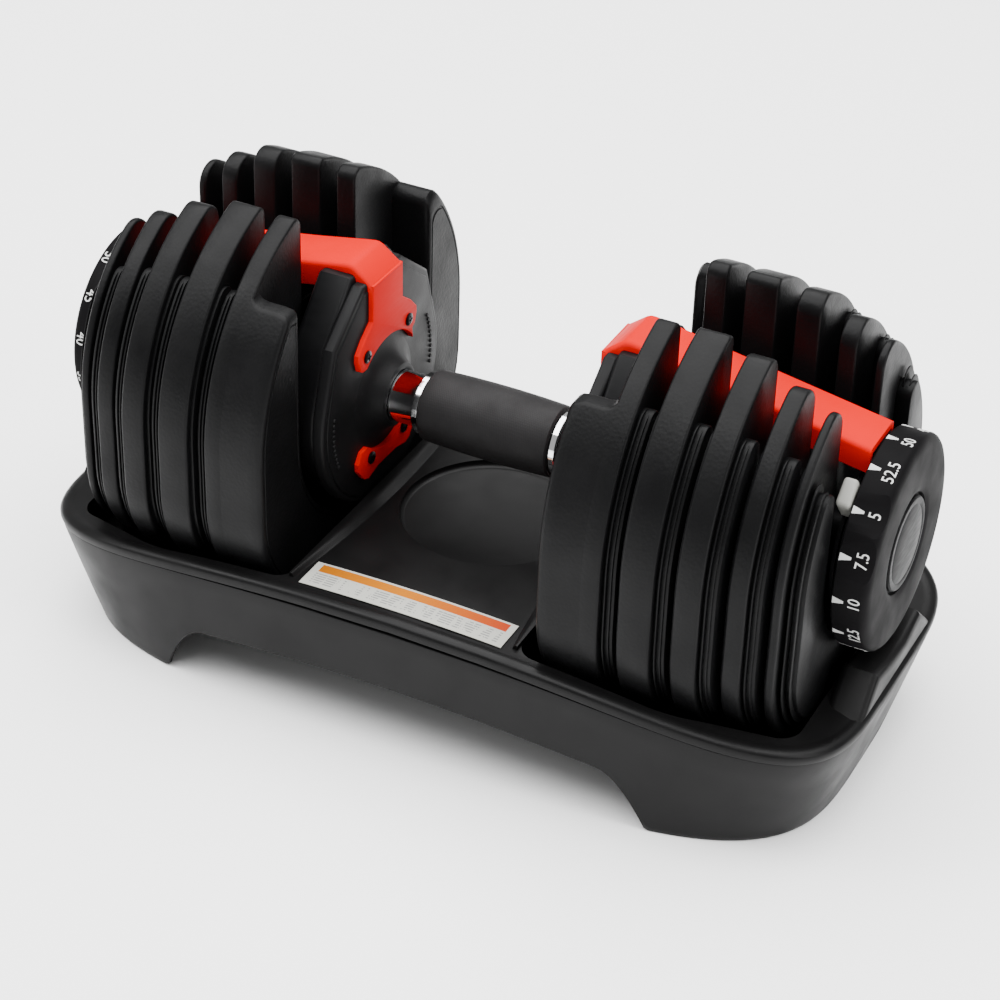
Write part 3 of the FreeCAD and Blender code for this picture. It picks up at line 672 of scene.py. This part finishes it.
def wrap_on_dial(verts, side, degrees, low, surface):
    """Lay flat marks on the dial's rim, letters' tops towards the plates."""
    for vert in verts:
        vert.tag = True
        along = low + 8.0 - vert.co.y / MM
        turn = degrees + side * math.degrees(vert.co.x / (DIAL_RADIUS * MM))
        y, z = front_point(turn, 60.0)
        start = Vector((side * along * MM, y * MM, z * MM))
        inward = (Vector((start.x, 0.0, AXIS * MM)) - start).normalized()
        hit = surface.ray_cast(start, inward)[0]
        vert.co = hit - inward * (vert.co.z - 0.05 * MM)


# ---------------------------------------------------------------- handle

POINTER_ANGLE = {"left": 122.0, "right": 51.0}
SCREW_PLACES = [(19.7, 28.9), (-19.7, 28.9), (15.75, -27.9), (-15.75, -27.9)]


def make_grip():
    profile = [(-33.0, 9.0), (-33.0, 15.9), (-32.3, 16.7)]
    for index in range(-10, 11):
        share = index / 10.0
        profile.append((31.0 * share, 17.8 - 0.8 * share * share))
    profile += [(32.3, 16.7), (33.0, 15.9), (33.0, 9.0)]
    finish_piece("hand_grip", turned(profile, 96), GRIP, "handle", ["rubber_grip"])


def make_collar(name, side):
    profile = [(33.2, 8.1), (33.2, 14.0), (33.8, 14.9), (36.2, 14.9), (36.9, 14.2), (37.3, 12.9),
               (38.2, 12.4), (49.9, 12.4), (49.9, 8.1)]
    finish_piece(f"{name}_chrome_collar", turned(mirrored(side, profile), 96), CHROME, "handle",
                 [f"{name}_collar"])


def guard_outline(radius, head, shrink=0.0):
    """The hand guard from the side: a round lower part and a straight-sided head."""
    scale = 1.0 - shrink / radius
    half, up = radius * 0.956 * scale, radius * 0.293 * scale
    lean = math.degrees(math.atan2(up, half))
    shoulder, shoulder_up = radius * 0.8 * scale, radius * 0.78 * scale
    line = Outline(-18.0 * scale, AXIS + head * scale)
    line.line(-shoulder, AXIS + shoulder_up).line(-half, AXIS + up)
    line.arc(0.0, AXIS, 180.0 + 2.0 * lean, 60)
    return line.line(shoulder, AXIS + shoulder_up).line(18.0 * scale, AXIS + head * scale)


def make_housing(name, side):
    """The black moulding behind the guard, with soft edges."""
    body = guard_outline(52.0, 66.0).slab(side, 65.6, 83.0, 2.6, 4)
    finish_piece(f"{name}_guard_housing", body, INNER_BLACK, "handle", [f"{name}_housing"])


def make_guard(name, side):
    low, high = 59.0, 66.0
    body = guard_outline(55.0, 63.0).slab(side, low + 0.6, high, 1.6, 4)
    join(body, guard_outline(55.0, 63.0, 3.2).slab(side, low, low + 1.2, 0.5, 2, (True, False)))
    boss = [(50.2, 12.6), (50.0, 14.0), (50.6, 15.4), (52.6, 16.6), (55.0, 18.4), (57.2, 21.2),
            (58.6, 24.6), (59.2, 28.0), (61.0, 28.0), (61.0, 12.6)]
    join(body, turned(mirrored(side, boss), 96))
    for start in (24.0, 204.0):
        for index in range(11):
            y, z = front_point(180.0 - start + 3.4 * index, 46.5)
            dot = bmesh.new()
            bmesh.ops.create_cone(dot, cap_ends=True, segments=10, radius1=0.0011, radius2=0.0008,
                                  depth=0.0008)
            bmesh.ops.rotate(dot, verts=dot.verts, cent=(0, 0, 0),
                             matrix=Matrix.Rotation(-side * math.pi / 2, 3, "Y"))
            bmesh.ops.translate(dot, verts=dot.verts, vec=(side * (low - 0.2) * MM, y * MM, z * MM))
            join(body, dot)
    finish_piece(f"{name}_hand_guard", body, GUARD_GREY, "handle", [f"{name}_guard"])


def channel_outline(top):
    """The strap's section: a flat top with round shoulders and two skirts."""
    line = Outline(-14.0, top - 12.0).line(-14.0, top - 2.4).arc(-11.6, top - 2.4, -90.0, 5)
    line.line(11.6, top).arc(11.6, top - 2.4, -90.0, 5).line(14.0, top - 12.0)
    line.line(11.2, top - 12.0).line(11.2, top - 3.0)
    return line.line(-11.2, top - 3.0).line(-11.2, top - 12.0)


def make_strap(name, side):
    face = Outline(-13.7, AXIS + 62.4).line(-14.0, AXIS + 44.0).line(-22.0, AXIS + 38.2)
    face.line(-27.4, AXIS + 32.6).line(-27.8, AXIS + 29.5).line(-26.0, AXIS + 24.0)
    face.line(-23.6, AXIS + 22.4).line(-19.6, AXIS + 22.2)
    face.arc(0.0, AXIS, -97.2, 24)
    face.line(23.6, AXIS + 22.4).line(26.0, AXIS + 24.0).line(27.8, AXIS + 29.5)
    face.line(27.4, AXIS + 32.6).line(22.0, AXIS + 38.2).line(14.0, AXIS + 44.0)
    face.line(13.7, AXIS + 62.4)
    body = face.slab(side, 56.5, 59.2, 0.9, 3, (True, False))
    path = [(57.0, 61.6), (57.8, 63.0), (66.4, 69.6), (68.2, 70.4), (70.2, 70.5), (73.0, 70.1),
            (100.0, 65.0), (183.0, 51.0)]
    join(body, loft(side, [(along, channel_outline(AXIS + up)) for along, up in path]))
    finish_piece(f"{name}_strap", body, STRAP_RED, "handle", [f"{name}_bridge"])


def make_clamp(name, side):
    line = Outline(-12.0, AXIS - 25.4).line(-19.0, AXIS - 20.6).line(-24.0, AXIS - 21.0)
    line.line(-27.6, AXIS - 26.0).line(-27.4, AXIS - 30.0).line(-22.0, AXIS - 36.6)
    line.line(-18.0, AXIS - 38.2).line(-9.0, AXIS - 36.0).line(9.0, AXIS - 36.0)
    line.line(18.0, AXIS - 38.2).line(22.0, AXIS - 36.6).line(27.4, AXIS - 30.0)
    line.line(27.6, AXIS - 26.0).line(24.0, AXIS - 21.0).line(19.0, AXIS - 20.6)
    line.line(12.0, AXIS - 25.4)
    line.arc(0.0, AXIS, -50.6, 12)
    finish_piece(f"{name}_clamp_plate", line.slab(side, 56.8, 59.2, 0.8, 3, (True, False)),
                 STRAP_RED, "handle", [f"{name}_clamp"])


def make_screws():
    """Countersunk heads with a cross recess, sunk a little in the red plates."""
    body = bmesh.new()
    for side in SIDES.values():
        for across, up in SCREW_PLACES:
            head = turned(mirrored(side, [(56.9, 0.01), (56.9, 3.0), (56.0, 3.1), (55.6, 2.5),
                                          (55.35, 1.4), (55.3, 0.01)]), 32)
            slots = []
            for wide, tall in ((0.45, 2.0), (2.0, 0.45)):
                ends = sorted((side * 54.5, side * 56.1))
                slots.append(box_mesh((ends[0], -wide, AXIS - tall), (ends[1], wide, AXIS + tall)))
            head = carve(head, *slots)
            bmesh.ops.translate(head, verts=head.verts, vec=(0.0, across * MM, up * MM))
            join(body, head)
    finish_piece("guard_screw_heads", body, SCREW_DARK, "handle", ["guard_screws"])


def make_pointer(name, side):
    angle = POINTER_ANGLE[name]
    bm = box_mesh((176.8, -6.6, 36.0), (183.4, 6.6, 51.2), 1.8, 4)
    bmesh.ops.rotate(bm, verts=bm.verts, cent=(0, 0, 0),
                     matrix=Matrix.Rotation(math.radians(90.0 - angle), 3, "X"))
    bmesh.ops.translate(bm, verts=bm.verts, vec=(0.0, 0.0, AXIS * MM))
    if side < 0:
        bmesh.ops.scale(bm, verts=bm.verts, vec=(-1.0, 1.0, 1.0))
        bmesh.ops.recalc_face_normals(bm, faces=bm.faces)
    finish_piece(f"{name}_pointer_pin", bm, PALE, "handle", [f"{name}_pointer"])


# ---------------------------------------------------------------- base

BASE_HALF, BASE_WIDTH = 213.0, 103.0
FOOT_HALF, FOOT_WIDTH = 191.0, 98.0
DECK, DECK_END = 76.0, 54.0
RIM = 6.0
ARCH_HALF, ARCH_FOOT = 104.0, 139.0
ARCH_HIGH, ARCH_RISE = 31.0, 6.0
DISH_DEPTH = 4.4


def deck_at(x):
    """Height of the deck's gentle arch, for X in millimetres."""
    return DECK - (DECK - DECK_END) * (x / (BASE_HALF + 5.0)) ** 2


def arch_at(x):
    """Height of the skirt's lower edge: an opening in the middle between two feet."""
    x = abs(x)
    if x < ARCH_HALF:
        return ARCH_HIGH + ARCH_RISE * (1.0 - (x / ARCH_HALF) ** 2)
    return ARCH_HIGH * (1.0 - min(1.0, (x - ARCH_HALF) / (ARCH_FOOT - ARCH_HALF)) ** 1.5)


def base_ring(x, y, height, inset=0.0):
    """The point of the base's flared outline at a height, for a point of the unit circle."""
    share = height / (DECK + 10.0)
    half = FOOT_HALF + (BASE_HALF - FOOT_HALF) * share - inset
    width = FOOT_WIDTH + (BASE_WIDTH - FOOT_WIDTH) * share - inset
    power = 2.0 / (3.8 + 1.5 * share)
    return (math.copysign(abs(x) ** power, x) * half, math.copysign(abs(y) ** power, y) * width)


def ring_loops(levels, segments=320):
    """Rings of the base's outline, each level given as height and inset for a ring point."""
    bm = bmesh.new()
    bmesh.ops.create_circle(bm, cap_ends=False, segments=segments, radius=1.0)
    unit = {vert: (vert.co.x, vert.co.y) for vert in bm.verts}
    edges = bm.edges[:]
    loops = []
    for level in levels:
        if loops:
            padded = bmesh.ops.extrude_edge_only(bm, edges=edges)
            fresh = [item for item in padded["geom"] if isinstance(item, bmesh.types.BMVert)]
            for vert in fresh:
                old = min(loops[-1], key=lambda other: (other.co - vert.co).length_squared)
                unit[vert] = unit[old]
            edges = [item for item in padded["geom"] if isinstance(item, bmesh.types.BMEdge)
                     and all(end in fresh for end in item.verts)]
        else:
            fresh = bm.verts[:]
        loops.append(fresh)
        for vert in fresh:
            ux, uy = unit[vert]
            vert.co = level(ux, uy)
    return bm, loops


def rim_level(drop, inset):
    """A ring that follows the deck, so far below it and so far in from the edge."""
    def place(ux, uy):
        x, _ = base_ring(ux, uy, DECK, inset)
        height = deck_at(x) - drop
        x, y = base_ring(ux, uy, height, inset)
        return Vector((x, y, height)) * MM
    return place


def skirt_level(share, inset):
    """A ring between the rim's underside and the skirt's lower edge."""
    def place(ux, uy):
        x, _ = base_ring(ux, uy, DECK / 2.0, inset)
        height = arch_at(x) * share + (deck_at(x) - RIM - 1.2) * (1.0 - share)
        x, y = base_ring(ux, uy, height, inset)
        return Vector((x, y, height)) * MM
    return place


def make_skirt():
    levels = [skirt_level(0.0, 5.0), skirt_level(0.0, 1.0), skirt_level(0.012, 0.25)]
    levels += [skirt_level(share, 0.0) for share in (0.05, 0.2, 0.4, 0.6, 0.8, 0.95, 0.985)]
    levels += [skirt_level(0.997, 0.4), skirt_level(1.0, 1.2), skirt_level(1.0, 3.0)]
    levels += [skirt_level(share, 3.2) for share in (0.8, 0.5, 0.2)]
    levels += [skirt_level(0.03, 3.4)]
    bm, _ = ring_loops(levels)
    bmesh.ops.bridge_loops(bm, edges=[edge for edge in bm.edges if len(edge.link_faces) == 1])
    bmesh.ops.recalc_face_normals(bm, faces=bm.faces)
    for side in SIDES.values():
        ends = sorted((side * 141.0, side * 180.0))
        join(bm, box_mesh((ends[0], -50.0, 3.0), (ends[1], 50.0, 6.0), 0.6))
    finish_piece("skirt", bm, BASE_BLACK, "base", ["base_skirt"], 35.0)


def pocket_cutter(side):
    """The opening in the deck for one end's plates."""
    bm = bmesh.new()
    corners = [(57.5, -92.5), (129.2, -92.5), (182.5, -73.5), (182.5, 73.5), (129.2, 92.5),
               (57.5, 92.5)]
    bm.faces.new([bm.verts.new((side * x * MM, y * MM, 0.03)) for x, y in corners])
    bmesh.ops.bevel(bm, geom=bm.verts[:], offset=9.0 * MM, offset_type="OFFSET", segments=6,
                    profile=0.5, affect="VERTICES", material=-1)
    padded = bmesh.ops.extrude_face_region(bm, geom=bm.faces[:])
    moved = [item for item in padded["geom"] if isinstance(item, bmesh.types.BMVert)]
    bmesh.ops.translate(bm, verts=moved, vec=(0.0, 0.0, 0.08))
    bmesh.ops.recalc_face_normals(bm, faces=bm.faces)
    return bm


def make_tray():
    """The deck: rounded rim, a lower well inside it, pockets and a dish."""
    drops = [(RIM, 6.0), (RIM, 0.6), (RIM - 0.5, 0.1), (3.4, 0.0), (1.9, 0.3), (0.9, 1.0),
             (0.25, 2.2), (0.0, 3.6), (0.0, 5.0), (0.4, 6.2), (0.6, 7.5)]
    bm, loops = ring_loops([rim_level(drop, inset) for drop, inset in drops])
    for loop in (loops[0], loops[-1]):
        edge = [item for item in bm.edges if len(item.link_faces) == 1
                and all(vert in set(loop) for vert in item.verts)]
        bmesh.ops.contextual_create(bm, geom=edge)
    for x in range(-204, 205, 8):
        bmesh.ops.bisect_plane(bm, geom=bm.verts[:] + bm.edges[:] + bm.faces[:], dist=0.000001,
                               plane_co=(x * MM, 0.0, 0.0), plane_no=(1.0, 0.0, 0.0))
    bmesh.ops.recalc_face_normals(bm, faces=bm.faces)
    dish = bmesh.new()
    bmesh.ops.create_cone(dish, cap_ends=True, segments=128, radius1=0.0437, radius2=0.0461,
                          depth=0.02)
    bottom = [item for item in dish.edges if all(vert.co.z < 0.0 for vert in item.verts)]
    bmesh.ops.bevel(dish, geom=bottom, offset=2.2 * MM, offset_type="OFFSET", segments=5,
                    profile=0.5, affect="EDGES", material=-1)
    bmesh.ops.translate(dish, verts=dish.verts, vec=(0.0, 0.0, (DECK - DISH_DEPTH + 10.0) * MM))
    bm = carve(bm, dish, *[pocket_cutter(side) for side in SIDES.values()])
    finish_piece("deck", bm, BASE_BLACK, "base", ["tray_top"], 35.0)


def crescent_lip(side):
    """A lip along the pocket that falls to the deck in a curve, widest in the middle."""
    bm = bmesh.new()
    bmesh.ops.create_grid(bm, x_segments=10, y_segments=48, size=1.0)
    for vert in bm.verts:
        share, y = (vert.co.x + 1.0) / 2.0, 90.0 * vert.co.y
        wide = 3.0 + 9.0 * (1.0 - vert.co.y ** 2)
        x = 57.6 - wide * (1.0 - share)
        fall = 0.5 - 0.5 * math.cos(math.pi * min(1.0, share * 1.35))
        top = deck_at(x) - 1.0 + 2.4 * fall
        vert.co = Vector((side * x, y, top)) * MM
    padded = bmesh.ops.extrude_face_region(bm, geom=bm.faces[:])
    for item in padded["geom"]:
        if isinstance(item, bmesh.types.BMVert):
            item.co.z = (deck_at(item.co.x / MM) - 4.0) * MM
    bmesh.ops.recalc_face_normals(bm, faces=bm.faces)
    return bm


def make_lips():
    """The lips beside the pockets, and the faceted pedestal under each dial."""
    for name, side in SIDES.items():
        finish_piece(f"{name}_lip", crescent_lip(side), BASE_BLACK, "base")
        block = Outline(-46.0, DECK_END + 0.5).line(46.0, DECK_END + 0.5).line(27.0, 71.5)
        block.line(9.0, 67.0).line(-9.0, 67.0).line(-27.0, 71.5)
        finish_piece(f"{name}_pedestal", block.slab(side, 184.6, 203.0, 4.0, 5), BASE_BLACK, "base")


def make_label():
    low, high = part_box("tray_label")
    bm = bmesh.new()
    bmesh.ops.create_grid(bm, x_segments=40, y_segments=4, size=0.5)
    bmesh.ops.scale(bm, verts=bm.verts, vec=(high[0] - low[0], high[1] - low[1], 1.0))
    bmesh.ops.translate(bm, verts=bm.verts, vec=(0.0, (low[1] + high[1]) / 2.0, 0.0))
    for vert in bm.verts:
        vert.co.z = (deck_at(vert.co.x / MM) - 0.35) * MM
    bmesh.ops.solidify(bm, geom=bm.faces[:], thickness=-0.0003)
    bmesh.ops.recalc_face_normals(bm, faces=bm.faces)
    film = label_film("label_print", low[1], high[1], high[0])
    piece = finish_piece("deck_label", bm, film, "base", ["tray_label"])


# ---------------------------------------------------------------- put together

make_grip()
for side_name, side_sign in SIDES.items():
    for plate_number in PLATE_RADII:
        make_plate(side_name, side_sign, plate_number)
    make_dial(side_name, side_sign)
    make_collar(side_name, side_sign)
    make_guard(side_name, side_sign)
    make_housing(side_name, side_sign)
    make_strap(side_name, side_sign)
    make_clamp(side_name, side_sign)
    make_pointer(side_name, side_sign)
make_screws()
make_skirt()
make_tray()
make_lips()
make_label()

CAD_FINISHES = {"handle_tube": STEEL, "rubber_feet": FOOT}
for side_name in SIDES:
    for part in ("end_plate", "sleeve", "disc_1", "disc_2", "disc_3", "disc_4", "disc_5"):
        CAD_FINISHES[f"{side_name}_{part}"] = INNER_BLACK
    CAD_FINISHES[f"{side_name}_rack"] = BASE_BLACK
    for number in PLATE_RADII:
        CAD_FINISHES[f"{side_name}_core_{number}"] = IRON
for node, material in CAD_FINISHES.items():
    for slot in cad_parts[node].material_slots:
        slot.material = material


# ---------------------------------------------------------------- floor, light and camera

def make_floor():
    bm = bmesh.new()
    bmesh.ops.create_grid(bm, x_segments=1, y_segments=1, size=6.0)
    mesh = bpy.data.meshes.new("floor")
    bm.to_mesh(mesh)
    bm.free()
    floor = bpy.data.objects.new("floor", mesh)
    bpy.context.scene.collection.objects.link(floor)
    material, _ = new_material("pale_floor", (0.93, 0.93, 0.93), 0.6, specular=0.0)
    mesh.materials.append(material)


def add_light(name, place, aim, power, size):
    data = bpy.data.lights.new(name, "AREA")
    data.energy = power
    data.shape = "RECTANGLE"
    data.size, data.size_y = size
    light = bpy.data.objects.new(name, data)
    bpy.context.scene.collection.objects.link(light)
    light.location = place
    light.rotation_euler = (Vector(aim) - Vector(place)).to_track_quat("-Z", "Y").to_euler()


def add_camera():
    turn, tilt, roll = math.radians(25.95), math.radians(33.88), math.radians(1.8)
    back = Vector((math.sin(turn) * math.cos(tilt), -math.cos(turn) * math.cos(tilt),
                   math.sin(tilt)))
    level = Vector((math.cos(turn), math.sin(turn), 0.0))
    above = back.cross(level)
    right = math.cos(roll) * level + math.sin(roll) * above
    up = -math.sin(roll) * level + math.cos(roll) * above
    data = bpy.data.cameras.new("camera")
    data.lens = 100.44
    data.sensor_width = 36.0
    data.clip_start = 0.05
    camera = bpy.data.objects.new("camera", data)
    bpy.context.scene.collection.objects.link(camera)
    place = Vector((0.47604, -0.97155, 0.80775))
    facing = Matrix((right, up, back)).transposed().to_4x4()
    camera.matrix_world = Matrix.Translation(place) @ facing
    bpy.context.scene.camera = camera


make_floor()
add_light("top_softbox", (-0.2, 0.1, 2.2), (0.0, 0.0, 0.0), 300.0, (3.6, 3.2))
add_light("right_softbox", (1.3, -0.2, 0.9), (0.0, 0.0, 0.1), 14.0, (0.5, 1.1))
add_light("left_softbox", (-1.3, -0.7, 1.1), (0.0, 0.0, 0.1), 12.0, (0.5, 1.2))
world = bpy.data.worlds.new("white_room")
world.use_nodes = True
world.node_tree.nodes["Background"].inputs["Color"].default_value = (1.0, 1.0, 1.0, 1.0)
world.node_tree.nodes["Background"].inputs["Strength"].default_value = 0.5
bpy.context.scene.world = world
add_camera()
